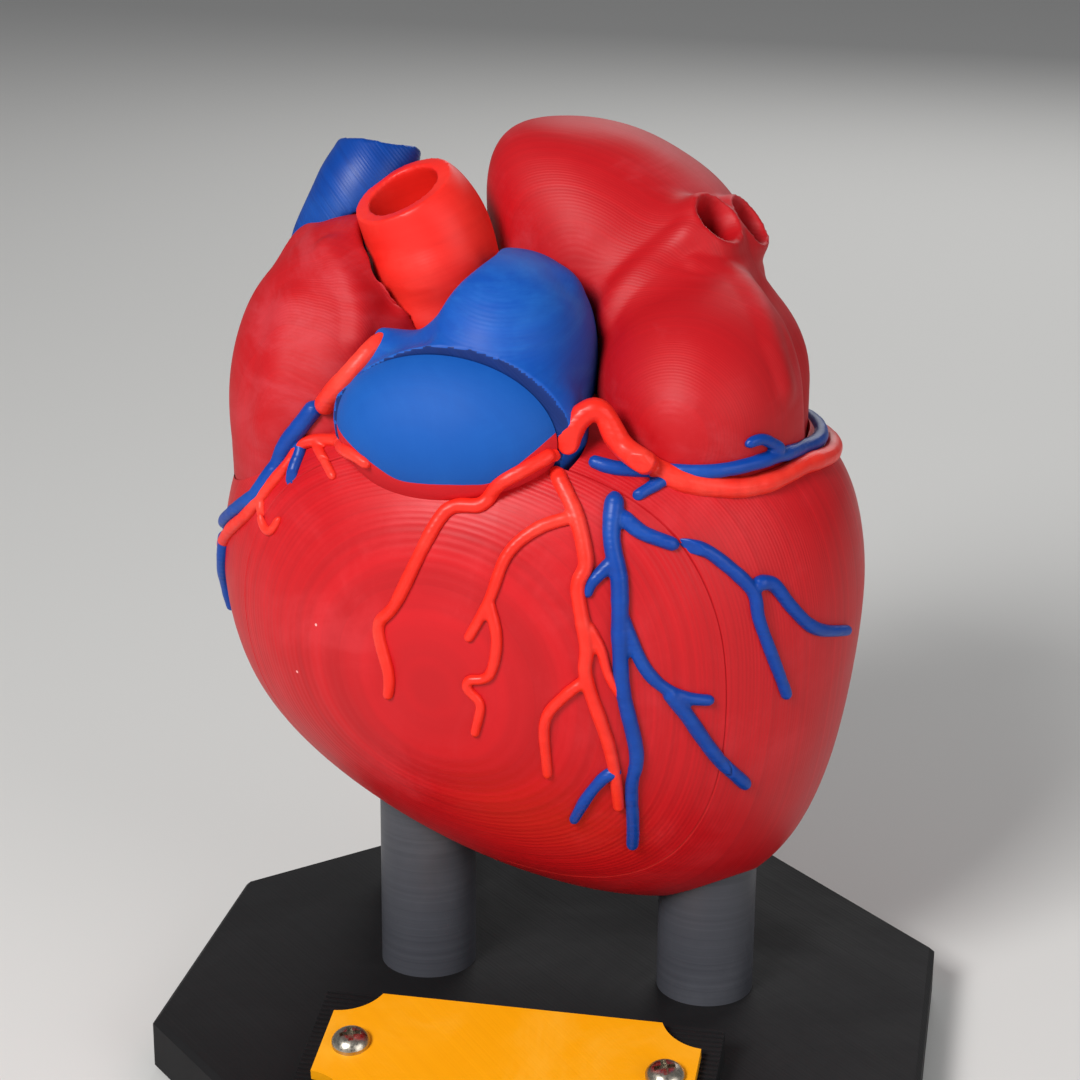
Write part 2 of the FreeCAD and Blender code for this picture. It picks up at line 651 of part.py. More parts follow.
def branch_solid(points, radii):
    """A tapering tube through mitred rings, each seam carried over from the last and drawn outward."""
    start_tip = points[0] + (points[0] - points[1]).normalize() * (radii[0] * 0.8)
    end_tip = points[-1] + (points[-1] - points[-2]).normalize() * (radii[-1] * 0.8)
    points = [start_tip] + points + [end_tip]
    radii = [radii[0] / 2] + radii + [radii[-1] / 2]
    last = len(points) - 1
    rings = []
    seam = Vector(points[0].x - HEART.x, points[0].y - HEART.y, 0)
    for index, point in enumerate(points):
        coming = (point - points[max(index - 1, 0)])
        going = (points[min(index + 1, last)] - point)
        along = Vector()
        for way in (coming, going):
            if way.Length > 0:
                along = along + way.normalize()
        along.normalize()
        outward = Vector(point.x - HEART.x, point.y - HEART.y, 0).normalize()
        seam = seam.normalize() + outward * along.cross(outward).Length
        across = along.cross(seam).normalize()
        seam = across.cross(along)
        ring = Part.Wire([Part.Circle(Vector(), UP, radii[index]).toShape()])
        ring.Placement = Placement(point, Rotation(seam, across, along, "ZXY"))
        rings.append(ring)
    return Part.makeLoft(rings, True, True)


VESSEL_PROUD = 0.15


def vessel(name, side, skins, diameter_alias, branches):
    """Branches laid along the skins, kept on one side of the cut face and seated on the skins."""
    diameter = size(diameter_alias)
    tree = None
    for first_share, last_share, places in branches:
        points = []
        for place in places:
            point = skin_point(skins, *place)
            outward = Vector(point.x - HEART.x, point.y - HEART.y, 0).normalize()
            points.append(point + outward * (VESSEL_PROUD * diameter))
        last = len(points) - 1
        radii = [diameter / 2 * (first_share + (last_share - first_share) * index / last)
                 for index in range(last + 1)]
        branch = branch_solid(points, radii)
        tree = tree.fuse(branch) if tree else branch
    seated = tree.common(side.Shape)
    for skin in skins:
        seated = seated.cut(skin.Shape)
    return feature(name, seated)


doc.recompute()
vessels = [
    vessel("anterior_descending_artery", front_side, FRONT_SKINS, "artery_diameter", ANTERIOR_DESCENDING),
    vessel("great_cardiac_vein", front_side, FRONT_SKINS, "vein_diameter", GREAT_CARDIAC),
    vessel("front_marginal_artery", front_side, FRONT_SKINS, "artery_diameter", MARGINAL),
    vessel("right_marginal_artery", rear_side, REAR_SKINS, "artery_diameter", MARGINAL),
    vessel("lateral_vein", rear_side, REAR_SKINS, "vein_diameter", LATERAL),
    vessel("circumflex_artery", rear_side, REAR_SKINS, "circumflex_diameter", CIRCUMFLEX),
    vessel("coronary_sinus_vein", rear_side, REAR_SKINS, "vein_diameter", CORONARY_SINUS),
    vessel("small_cardiac_vein", rear_side, REAR_SKINS, "vein_diameter", SMALL_CARDIAC),
    vessel("right_coronary_artery", rear_side, [conus_form, trunk_form, right_block], "artery_diameter",
           RIGHT_CORONARY),
]

# ---------------------------------------------------------------- stand

base_block = bind(doc.addObject("Part::Prism", "base_block"),
                  Circumradius="Sizes.base_across_flats / 2 / cos(22.5 deg)", Height="Sizes.base_thickness")
base_block.Polygon = 8
base_block.Placement = Placement(Vector(), Rotation(UP, 22.5))
doc.recompute()
rims = [index for index, edge in enumerate(base_block.Shape.Edges, start=1)
        if abs(edge.Vertexes[0].Z - edge.Vertexes[1].Z) < 1e-6]
base_chamfered = doc.addObject("Part::Chamfer", "base_chamfered")
base_chamfered.Base = base_block
base_chamfered.Edges = [(index, size("base_edge_chamfer"), size("base_edge_chamfer")) for index in rims]

slope = math.radians(size("wedge_slope_degrees"))
plate_up = Vector(0, math.cos(slope), math.sin(slope))
plate_out = Vector(0, -math.sin(slope), math.cos(slope))
plate_front_height = BASE_TOP + size("wedge_front_height")
plate_rear = Vector(size("plate_centre_x"),
                    size("plate_rear_y") + size("plate_thickness") * math.sin(slope),
                    plate_front_height + size("plate_depth") * math.sin(slope))
plate_place = Placement(plate_rear - plate_up * (size("plate_depth") / 2),
                        Rotation(Vector(1, 0, 0), size("wedge_slope_degrees")))


def stepped_wedge():
    """The wedge in side view, one step per printed layer, its step edges on the plate's underside."""
    step = size("wedge_step_height")
    tread = step / math.tan(slope)
    rear_y = plate_rear.y + size("wedge_rear_margin")
    front_y = plate_rear.y - size("plate_depth") * math.cos(slope)
    outline = [Vector(0, front_y, BASE_TOP)]
    y = front_y
    level = plate_front_height
    while y < rear_y:
        outline.append(Vector(0, y, level))
        y = min(y + tread, rear_y)
        outline.append(Vector(0, y, level))
        level += step
    outline.append(Vector(0, rear_y, BASE_TOP))
    outline.append(outline[0])
    width = size("plate_width") + 2 * size("wedge_side_margin")
    face = Part.Face(Part.makePolygon(outline))
    face.translate(Vector(size("plate_centre_x") - width / 2, 0, 0))
    return face.extrude(Vector(width, 0, 0))


screw_x = size("plate_width") / 2 - size("screw_inset")
screw_axes = []
for side in (-1, 1):
    seat = plate_place.multVec(Vector(side * screw_x, 0, size("plate_thickness")))
    screw_axes.append(toward(seat, plate_out))
screw_holes = []
plate_holes = []
for number, axis in enumerate(screw_axes, start=1):
    start = axis.multVec(Vector(0, 0, -size("screw_length")))
    screw_holes.append(cylinder("screw_hole_%d" % number, "Sizes.screw_diameter / 2", "Sizes.screw_length",
                                Placement(start, axis.Rotation)))
    plate_holes.append(cylinder("plate_hole_%d" % number, "Sizes.screw_diameter / 2 + 0.1",
                                "Sizes.screw_length", Placement(start, axis.Rotation)))

wedge = feature("wedge", stepped_wedge())
base_whole = join("base_whole", base_chamfered, [wedge])
tenon_holes = []
post_parts = {}
for post in POSTS:
    foot = Vector(size(post + "_x"), size(post + "_y"), BASE_TOP)
    root_place = Placement(foot - UP * size("post_tenon_length"), Rotation())
    shaft = cylinder(post + "_shaft", "Sizes.post_diameter / 2", "%r mm" % (post_tops[post] - BASE_TOP),
                     Placement(foot, Rotation()))
    tenon = cylinder(post + "_tenon", "Sizes.post_tenon_diameter / 2", "Sizes.post_tenon_length", root_place)
    tenon_holes.append(tenon)
    post_parts[post] = join(post, shaft, [tenon])
base_plate = cut("base_plate", base_whole, tenon_holes + screw_holes)


def plate_outline():
    """The plate's edge: straight sides and a hollow quarter curve at each corner."""
    half_width = size("plate_width") / 2
    half_depth = size("plate_depth") / 2
    along = size("plate_corner_along")
    across = size("plate_corner_across")
    quarter = math.radians(45)
    edges = []
    ends = []
    for across_sign, along_sign in ((1, 1), (1, -1), (-1, -1), (-1, 1)):
        corner = Vector(along_sign * half_width, across_sign * half_depth, 0)
        on_long = corner - Vector(along_sign * along, 0, 0)
        on_short = corner - Vector(0, across_sign * across, 0)
        hollow = corner - Vector(along_sign * along * math.cos(quarter) * 0.92,
                                 across_sign * across * math.sin(quarter) * 0.92, 0)
        edges.append(Part.Arc(on_long, hollow, on_short).toShape())
        ends.append((on_long, on_short))
    edges.append(Part.makeLine(ends[0][0], ends[1][0]))
    edges.append(Part.makeLine(ends[1][1], ends[2][1]))
    edges.append(Part.makeLine(ends[2][0], ends[3][0]))
    edges.append(Part.makeLine(ends[3][1], ends[0][1]))
    return Part.Face(Part.Wire(Part.__sortEdges__(edges)))


plate_slab = feature("plate_slab", plate_outline().extrude(Vector(0, 0, size("plate_thickness"))))
plate_slab.Placement = plate_place
name_plate = cut("name_plate", plate_slab, plate_holes)


def pan_screw():
    """A screw with a domed head, a cross recess and a plain shank, its seat at the origin."""
    radius = size("screw_head_diameter") / 2
    height = size("screw_head_height")
    profile = Part.Wire([
        Part.makeLine(Vector(0, 0, 0), Vector(radius, 0, 0)),
        Part.makeLine(Vector(radius, 0, 0), Vector(radius, 0, height * 0.35)),
        Part.Arc(Vector(radius, 0, height * 0.35), Vector(radius * 0.8, 0, height * 0.8),
                 Vector(0, 0, height)).toShape(),
        Part.makeLine(Vector(0, 0, height), Vector(0, 0, 0))])
    head = Part.Face(profile).revolve(Vector(), UP, 360)
    width = size("screw_recess_width")
    arm = radius * 1.1
    floor = height - size("screw_recess_depth")
    for turn in (0, 90):
        slot = Part.makeBox(arm, width, height, Vector(-arm / 2, -width / 2, floor))
        slot.rotate(Vector(), UP, turn + 20)
        head = head.cut(slot)
    shank = Part.makeCylinder(size("screw_diameter") / 2, size("screw_length"),
                              Vector(0, 0, -size("screw_length")))
    return head.fuse(shank).removeSplitter()


screws = []
for number, axis in enumerate(screw_axes, start=1):
    screw = feature("screw_%d" % number, pan_screw())
    screw.Placement = axis
    screws.append(screw)
plate_screws = doc.addObject("Part::Compound", "plate_screws")
plate_screws.Links = screws

# ---------------------------------------------------------------- check and write

NODES = [base_plate, name_plate, plate_screws]
NODES += [post_parts[post] for post in POSTS]
NODES += [rear_heart_wall, right_atrium, left_atrium, superior_vena_cava, inferior_vena_cava, aorta,
          pulmonary_trunk, mitral_valve, tricuspid_valve, locating_pins, rear_magnet_set,
          front_heart_wall, conus_dome, front_magnet_set]
NODES += vessels
doc.recompute()

for made in doc.Objects:
    if "Invalid" in made.State or "Error" in made.State:
        raise RuntimeError("%s failed to build" % made.Name)
for node in NODES:
    node.Label = node.Name
    shape = node.Shape
    if shape.isNull() or not shape.isValid() or shape.Volume <= 0:
        raise RuntimeError("%s has no valid solid" % node.Name)
    shape.exportStep("parts/%s.step" % node.Label)
    print("%-28s %2d solids %10.1f mm3" % (node.Label, len(shape.Solids), shape.Volume))
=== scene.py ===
import math

import bmesh
import bpy
import numpy as np
from mathutils import Matrix, Vector, noise
from mathutils.bvhtree import BVHTree


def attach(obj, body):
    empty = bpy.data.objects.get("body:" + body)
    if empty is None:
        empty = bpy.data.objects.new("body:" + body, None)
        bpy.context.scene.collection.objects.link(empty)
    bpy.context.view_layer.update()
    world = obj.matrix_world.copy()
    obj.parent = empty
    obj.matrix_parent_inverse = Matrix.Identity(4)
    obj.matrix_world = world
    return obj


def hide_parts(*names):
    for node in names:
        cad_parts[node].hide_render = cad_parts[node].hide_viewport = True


# A printed heart teaching model on its three-post stand. The scene is in metres, +Z up, the viewer at -Y.
# Places, lengths and radii in the tables and calls below are in mm unless a comment says otherwise.

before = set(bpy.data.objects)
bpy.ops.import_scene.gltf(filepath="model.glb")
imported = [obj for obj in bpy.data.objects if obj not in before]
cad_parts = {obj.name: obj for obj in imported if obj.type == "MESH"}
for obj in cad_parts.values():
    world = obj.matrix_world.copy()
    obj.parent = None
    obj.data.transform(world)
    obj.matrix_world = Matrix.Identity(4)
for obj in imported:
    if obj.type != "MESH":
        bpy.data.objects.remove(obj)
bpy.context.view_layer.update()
MM = 0.001

# The heart's middle, and the cut face, which lies in front of it, turns 6 degrees and leans 7.
HEART_MM = (-4.45, 9.0, 69.3)
CUT_FORWARD = 23.1
CUT_TURN, CUT_LEAN = math.radians(6), math.radians(7)
HEART = Vector(HEART_MM) * MM
CUT_POINT = Vector((0, HEART_MM[1] - CUT_FORWARD, HEART_MM[2])) * MM
CUT_NORMAL = Vector((-math.sin(CUT_TURN) * math.cos(CUT_LEAN), -math.cos(CUT_TURN) * math.cos(CUT_LEAN),
                     -math.sin(CUT_LEAN)))

# ---------------------------------------------------------------- making a material


def linear(hex_colour):
    """An sRGB hex colour as linear RGBA."""
    parts = [int(hex_colour[i:i + 2], 16) / 255 for i in (0, 2, 4)]
    return tuple(c / 12.92 if c <= 0.04045 else ((c + 0.055) / 1.055) ** 2.4 for c in parts) + (1.0,)


def add(tree, kind, settings=None):
    """Adds a node. Sockets among the settings are linked; the rest go on its properties or inputs."""
    node = tree.nodes.new("ShaderNode" + kind)
    for key, value in (settings or {}).items():
        if isinstance(value, bpy.types.NodeSocket):
            tree.links.new(value, node.inputs[key])
        elif isinstance(key, str) and hasattr(node, key):
            setattr(node, key, value)
        else:
            node.inputs[key].default_value = value
    return node


def new_material(name):
    material = bpy.data.materials.new(name)
    material.use_nodes = True
    material.node_tree.nodes.clear()
    return material, material.node_tree


# Pattern scales, as repeats to the metre.
LUMPS = 160           # unevenness of a printed face, about 6 mm across
BLOTCHES = 38         # patches of duller and brighter plastic, about 26 mm across
STROKES = 55          # scuff strokes, about 18 mm long
SPECK_PLACES = 260    # places where a speck of dust may lie, about 4 mm apart
SPECK_RADIUS = 0.055  # of the distance between two such places, so 0.2 mm
TURNING_MARKS = 2500  # marks of the lathe or grinder, about 0.4 mm apart

# How much of a printed face's relief comes from its grooves, its uneven layers and its slow lumps.
GROOVES, UNEVENNESS, LUMPINESS = 0.5, 2.2, 1.6
WAVES_PER_LAYER = 0.35   # of unevenness, so one wave takes about three layers


def layer_relief(tree, spot, normal, axis, layer):
    """The grooves between layers, layers laid a little unevenly, and slow lumps.

    Gives the whole relief, and the unevenness from layer to layer on its own.
    """
    height = add(tree, "VectorMath", {"operation": "DOT_PRODUCT", 0: spot, 1: axis}).outputs["Value"]
    facing = add(tree, "VectorMath", {"operation": "DOT_PRODUCT", 0: normal, 1: axis}).outputs["Value"]
    facing = add(tree, "Math", {"operation": "ABSOLUTE", 0: facing}).outputs[0]
    # Grooves show most where the skin lies nearly flat with the layers, and least where it stands upright.
    slope = add(tree, "MapRange", {"interpolation_type": "SMOOTHSTEP", "Value": facing, "From Min": 0.10,
                                   "From Max": 0.9, "To Min": 0.25, "To Max": 1.0}).outputs[0]
    turns = add(tree, "Math", {"operation": "MULTIPLY", 0: height, 1: 2 * math.pi / layer}).outputs[0]
    groove = add(tree, "Math", {"operation": "SINE", 0: turns}).outputs[0]
    groove = add(tree, "Math", {"operation": "MULTIPLY", 0: groove, 1: slope}).outputs[0]
    run = add(tree, "Math", {"operation": "MULTIPLY", 0: height, 1: WAVES_PER_LAYER / layer}).outputs[0]
    uneven = add(tree, "TexNoise", {"noise_dimensions": "1D", "W": run, "Scale": 1.0, "Detail": 4.0,
                                    "Roughness": 0.65}).outputs["Fac"]
    lumps = add(tree, "TexNoise", {"Vector": spot, "Scale": LUMPS, "Detail": 3.0,
                                   "Roughness": 0.6}).outputs["Fac"]
    relief = add(tree, "Math", {"operation": "MULTIPLY", 0: lumps, 1: LUMPINESS}).outputs[0]
    relief = add(tree, "Math", {"operation": "MULTIPLY_ADD", 0: uneven, 1: UNEVENNESS, 2: relief}).outputs[0]
    relief = add(tree, "Math", {"operation": "MULTIPLY_ADD", 0: groove, 1: GROOVES, 2: relief}).outputs[0]
    return relief, uneven


def scuffed(tree, spot, shade, blotch, pale, haze, streak_axis):
    """Dull patches with strokes in them, as handling leaves on the proud parts."""
    along = add(tree, "Mapping", {"Vector": spot, "Scale": Vector(streak_axis)}).outputs[0]
    scuff = add(tree, "TexNoise", {"Vector": along, "Scale": STROKES, "Detail": 8.0, "Roughness": 0.72,
                                   "Distortion": 0.8}).outputs["Fac"]
    scuff = add(tree, "Math", {"operation": "MULTIPLY", 0: scuff, 1: blotch}).outputs[0]
    mask = add(tree, "MapRange", {"interpolation_type": "SMOOTHSTEP", "Value": scuff, "From Min": 0.22,
                                  "From Max": 0.42, "To Min": 0.0, "To Max": haze}).outputs[0]
    return add(tree, "Mix", {"data_type": "RGBA", 0: mask, 6: shade, 7: linear(pale)}).outputs[2]


def dusted(tree, spot, shade, share):
    """Pale specks of dust, in this share of the places that may hold one."""
    dust = add(tree, "TexVoronoi", {"Vector": spot, "Scale": SPECK_PLACES})
    near = add(tree, "Math", {"operation": "LESS_THAN", 0: dust.outputs["Distance"],
                              1: SPECK_RADIUS}).outputs[0]
    chance = add(tree, "SeparateColor", {"Color": dust.outputs["Color"]}).outputs[0]
    rare = add(tree, "Math", {"operation": "GREATER_THAN", 0: chance, 1: 1.0 - share}).outputs[0]
    speck = add(tree, "Math", {"operation": "MULTIPLY", 0: near, 1: rare}).outputs[0]
    return add(tree, "Mix", {"data_type": "RGBA", 0: speck, 6: shade, 7: linear("E9A6A2")}).outputs[2]


HEM_ROUNDING = 1.5 * MM   # how softly one side of a hem turns into the next
HEM_WAVER = 0.8 * MM      # how far the hem strays from its planes


def hemmed(tree, spot, shade, tone, blotch, hem):
    """A second plastic past a hem: its light and dark shades, then planes by a point and a normal."""
    light, dark, planes = hem
    past = None
    for point, normal in planes:
        normal = Vector(normal).normalized()
        over = add(tree, "VectorMath", {"operation": "DOT_PRODUCT", 0: spot, 1: normal}).outputs["Value"]
        start = normal.dot(Vector(point)) * MM
        over = add(tree, "Math", {"operation": "SUBTRACT", 0: over, 1: start}).outputs[0]
        if past is not None:
            over = add(tree, "Math", {"operation": "SMOOTH_MAX", 0: past, 1: over,
                                      2: HEM_ROUNDING}).outputs[0]
        past = over
    waver = add(tree, "Math", {"operation": "SUBTRACT", 0: blotch, 1: 0.5}).outputs[0]
    past = add(tree, "Math", {"operation": "MULTIPLY_ADD", 0: waver, 1: HEM_WAVER, 2: past}).outputs[0]
    past = add(tree, "Math", {"operation": "GREATER_THAN", 0: past, 1: 0.0}).outputs[0]
    second = add(tree, "Mix", {"data_type": "RGBA", 0: tone, 6: linear(light), 7: linear(dark)}).outputs[2]
    return add(tree, "Mix", {"data_type": "RGBA", 0: past, 6: shade, 7: second}).outputs[2]


def printed_plastic(name, shades, build_axis, layer, line_depth, haze=0.0, roughness=0.42, band=0.10,
                    streak_axis=(1, 1, 1), speck=0.0, hem=None):
    """Filament-printed PLA: a semi-gloss polymer laid in layers square to build_axis.

    shades are its colour, its scuffed colour and its dark one. Real layers are 0.2 mm high, mostly too
    fine to show, so layer is the coarser height they are drawn at, and line_depth the depth of the groove
    between two. band is how much one layer's shade differs from the next, haze how much scuffing shows,
    speck the share of dust, and hem the edge of a second plastic.
    """
    colour, pale, dark = shades
    material, tree = new_material(name)
    place = add(tree, "TexCoord")
    spot = place.outputs["Object"]
    relief, uneven = layer_relief(tree, spot, place.outputs["Normal"], Vector(build_axis).normalized(),
                                  layer * MM)
    bump = add(tree, "Bump", {"Height": relief, "Strength": 0.55, "Distance": line_depth * MM}).outputs[0]
    blotch = add(tree, "TexNoise", {"Vector": spot, "Scale": BLOTCHES, "Detail": 5.0, "Roughness": 0.6,
                                    "Distortion": 0.6}).outputs["Fac"]
    # The blotches move the tone round its middle, and the layers by up to twice the band either way.
    by_layer = add(tree, "MapRange", {"Value": uneven, "From Min": 0.3, "From Max": 0.7,
                                      "To Min": 0.25 - band * 2, "To Max": 0.25 + band * 2}).outputs[0]
    tone = add(tree, "Math", {"operation": "MULTIPLY_ADD", 0: blotch, 1: 0.5, 2: by_layer}).outputs[0]
    shade = add(tree, "Mix", {"data_type": "RGBA", 0: tone, 6: linear(dark), 7: linear(colour)}).outputs[2]
    if haze:
        shade = scuffed(tree, spot, shade, blotch, pale, haze, streak_axis)
    if speck:
        shade = dusted(tree, spot, shade, speck)
    if hem:
        shade = hemmed(tree, spot, shade, tone, blotch, hem)
    gloss = add(tree, "MapRange", {"Value": blotch, "From Min": 0.3, "From Max": 0.7,
                                   "To Min": roughness - 0.06, "To Max": roughness + 0.08}).outputs[0]
    # The fine layers trap part of the gloss, so less of it shows than on a moulded face.
    surface = add(tree, "BsdfPrincipled", {"Base Color": shade, "Roughness": gloss, "Normal": bump,
                                           "IOR": 1.46, "Specular IOR Level": 0.36})
    add(tree, "OutputMaterial", {"Surface": surface.outputs[0]})
    return material


def worked_metal(name, colour, roughness, mark_depth):
    """A plated or ground metal: bright, with fine working marks that blur its highlights."""
    material, tree = new_material(name)
    spot = add(tree, "TexCoord").outputs["Object"]
    marks = add(tree, "TexNoise", {"Vector": spot, "Scale": TURNING_MARKS, "Detail": 4.0}).outputs["Fac"]
    gloss = add(tree, "MapRange", {"Value": marks, "From Min": 0.3, "From Max": 0.7,
                                   "To Min": roughness - 0.08, "To Max": roughness + 0.12}).outputs[0]
    bump = add(tree, "Bump", {"Height": marks, "Strength": 0.2, "Distance": mark_depth * MM}).outputs[0]
    surface = add(tree, "BsdfPrincipled", {"Base Color": linear(colour), "Metallic": 1.0, "Roughness": gloss,
                                           "Normal": bump})
    add(tree, "OutputMaterial", {"Surface": surface.outputs[0]})
    return material


# ---------------------------------------------------------------- the finishes

UP = (0, 0, 1)
ACROSS_BASE = (1, 1, 0)
FROM_CUT_FACE = (-0.14, -0.983, -0.11)

# Red PLA of the walls, printed lying on the cut face: contour lines round the front, bands along the sides.
red_wall = printed_plastic("red_pla_wall", ("CF0D18", "D9454C", "A30610"), FROM_CUT_FACE, 0.4, 0.035,
                           haze=0.22, roughness=0.44, speck=0.02)
# The same red on the atria: duller from handling, its lines soft, with faint upright scuffs and dust.
red_atrium = printed_plastic("red_pla_atrium", ("C60914", "D0606A", "9E0510"), FROM_CUT_FACE, 0.3, 0.02,
                             haze=0.20, roughness=0.56, band=0.05, streak_axis=(1.0, 0.6, 2.2), speck=0.03)
# Blue PLA of the trunk: deep, rubbed paler in patches.
blue_trunk = printed_plastic("blue_pla_trunk", ("0051B0", "2F80CE", "003E96"), (0.1, -0.3, 0.95), 0.4, 0.02,
                             haze=0.35, roughness=0.55, band=0.06, streak_axis=(0.6, 1, 2.5), speck=0.01)
# Blue PLA of the dome: matte and nearly smooth, with a hem of the walls' red along its lower edge.
DOME_HEM = [((-28.6, -14, 99.9), (-0.50, 0, -0.866)), ((-11.8, -22, 94.1), (0.03, 0, -1)),
            ((-4.6, -22, 94.9), (0.637, 0, -0.771))]
blue_dome = printed_plastic("blue_pla_dome", ("0054AA", "1C66B8", "00489A"), FROM_CUT_FACE, 0.3, 0.008,
                            haze=0.25, roughness=0.66, band=0.03, hem=("DC1A24", "B50C17", DOME_HEM))
# Blue PLA of the two veins on the right atrium: darker, with plain slanting lines.
blue_cava = printed_plastic("blue_pla_cava", ("00429A", "2A6CBC", "00307C"), (0.75, 0.2, 0.62), 0.45, 0.05,
                            haze=0.15, roughness=0.44)
# The strip of cut face beside the dome: the darkest blue, which is painted shade for the shadow this face
# lies in, unrubbed, with coarse lines.
blue_step_painted_shade = printed_plastic("blue_pla_cut_face_painted_shade", ("002B72", "0B468F", "001E58"), (0.7, 0, 0.7), 0.5, 0.05,
                            roughness=0.5)
# Orange-red PLA of the aorta, printed standing: nearly smooth, with soft rings.
light_red = printed_plastic("light_red_pla", ("F22A20", "FF6A58", "D81A12"), (-0.35, -0.08, 0.93), 0.5,
                            0.015, haze=0.10, roughness=0.44, band=0.05)
# Vessels drawn on with a pen: a glossier bead of orange-red, and one of dark blue.
artery = printed_plastic("artery_pla", ("F5301F", "FF8470", "DA1C12"), UP, 0.8, 0.04, haze=0.15,
                         roughness=0.38, band=0.05)
vein = printed_plastic("vein_pla", ("0043A0", "2E74CC", "003082"), UP, 0.8, 0.06, haze=0.15,
                       roughness=0.38, band=0.06)
# Charcoal PLA of the base: near black and dull, with slanting strokes across its top.
charcoal = printed_plastic("charcoal_pla_base", ("0D0C0E", "242426", "080709"), ACROSS_BASE, 0.67, 0.04,
                           haze=0.2, roughness=0.72)
# Grey PLA of the posts: dark and satin, with fine rings.
grey = printed_plastic("grey_pla_post", ("4A4B51", "6E7077", "393A40"), UP, 0.3, 0.02, haze=0.1)
# Yellow PLA of the name plate: a warm gloss over slanting strokes.
yellow = printed_plastic("yellow_pla_plate", ("F8A80A", "FFCB55", "E69404"), ACROSS_BASE, 0.5, 0.02,
                         haze=0.15, roughness=0.38, band=0.04)
# Ivory PLA of the valves: pale, plain and finely ringed.
ivory = printed_plastic("ivory_pla_valve", ("EBDCBE", "F8F0DE", "D6C5A2"), UP, 0.2, 0.03, roughness=0.45)
# Nickel plate of the screws and magnets: warm and bright. Ground steel of the pins: cooler.
nickel = worked_metal("nickel_plate", "B9B2A4", 0.28, 0.01)
steel = worked_metal("ground_steel", "C2C4C8", 0.30, 0.005)

FINISHES = {
    red_wall: ["rear_heart_wall", "front_heart_wall"],
    red_atrium: ["right_atrium", "left_atrium"],
    blue_trunk: ["pulmonary_trunk"],
    blue_dome: ["conus_dome"],
    blue_cava: ["superior_vena_cava", "inferior_vena_cava"],
    light_red: ["aorta"],
    artery: ["anterior_descending_artery", "front_marginal_artery", "right_marginal_artery",
             "circumflex_artery", "right_coronary_artery"],
    vein: ["great_cardiac_vein", "lateral_vein", "coronary_sinus_vein", "small_cardiac_vein"],
    charcoal: ["base_plate"],
    grey: ["front_left_post", "front_right_post", "rear_post"],
    yellow: ["name_plate"],
    ivory: ["mitral_valve", "tricuspid_valve"],
    nickel: ["plate_screws", "rear_magnets", "front_magnets"],
    steel: ["locating_pins"],
}


def finish_with(piece, material):
    piece.data.materials.clear()
    piece.data.materials.append(material)


for material, names in FINISHES.items():
    for name in names:
        finish_with(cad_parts[name], material)

# ---------------------------------------------------------------- shaping a chamber stroke by stroke

WELD = 0.01 * MM
NORMALS_LAST = 10   # rounds of filling, as the skin turns slowly


def merged_copy(node, name):
    """A copy of a CAD node's mesh with its loose triangles joined."""
    form = bmesh.new()
    form.from_mesh(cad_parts[node].data)
    bmesh.ops.remove_doubles(form, verts=form.verts, dist=WELD)
    mesh = bpy.data.meshes.new(name)
    form.to_mesh(mesh)
    form.free()
    piece = bpy.data.objects.new(name, mesh)
    bpy.context.scene.collection.objects.link(piece)
    return piece


def remeshed(piece, voxel, smoothing):
    """Gives the piece one even skin over everything in it, then relaxes it."""
    grid = piece.modifiers.new("grid", "REMESH")
    grid.mode = "VOXEL"
    grid.voxel_size = voxel * MM
    relax = piece.modifiers.new("relax", "SMOOTH")
    relax.factor, relax.iterations = 0.5, smoothing
    graph = bpy.context.evaluated_depsgraph_get()
    mesh = bpy.data.meshes.new_from_object(piece.evaluated_get(graph))
    piece.modifiers.clear()
    piece.data = mesh
    for face in mesh.polygons:
        face.use_smooth = True
    return piece


def modelled(node, voxel, smoothing, body="heart"):
    """A CAD node's form as one even skin that takes its place, ready to be shaped."""
    piece = remeshed(merged_copy(node, node + "_skin"), voxel, smoothing)
    finish_with(piece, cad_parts[node].data.materials[0])
    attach(piece, body)
    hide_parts(node)
    return piece


def skin_arrays(piece):
    """The piece's vertex places and its edges, as arrays."""
    mesh = piece.data
    spots = np.empty(len(mesh.vertices) * 3)
    mesh.vertices.foreach_get("co", spots)
    links = np.empty(len(mesh.edges) * 2, dtype=np.int32)
    mesh.edges.foreach_get("vertices", links)
    return spots.reshape(-1, 3), links.reshape(-1, 2)


def set_spots(piece, spots):
    piece.data.vertices.foreach_set("co", spots.ravel())
    piece.data.update()


def normals_of(piece):
    normals = np.empty(len(piece.data.vertices) * 3)
    piece.data.vertices.foreach_get("normal", normals)
    return normals.reshape(-1, 3)


def neighbour_means(spots, links):
    """For each vertex, the mean place of those it shares an edge with."""
    count = np.bincount(links.ravel(), minlength=len(spots))
    total = np.stack([np.bincount(links[:, 0], spots[links[:, 1], axis], len(spots))
                      + np.bincount(links[:, 1], spots[links[:, 0], axis], len(spots))
                      for axis in range(3)], axis=1)
    return total / count[:, None]


def distance_to(spots, line):
    """How far each place is from a line of points."""
    ends = [np.array(point) * MM for point in line]
    best = np.linalg.norm(spots - ends[0], axis=1)
    for start, end in zip(ends, ends[1:]):
        run = end - start
        share = np.clip((spots - start) @ run / (run @ run), 0, 1)
        best = np.minimum(best, np.linalg.norm(spots - start - share[:, None] * run, axis=1))
    return best


def falloff(distance, radius):
    """1 on the line, falling smoothly to 0 at the radius."""
    share = np.clip(distance / (radius * MM), 0, 1)
    return (1 - share ** 2) ** 2


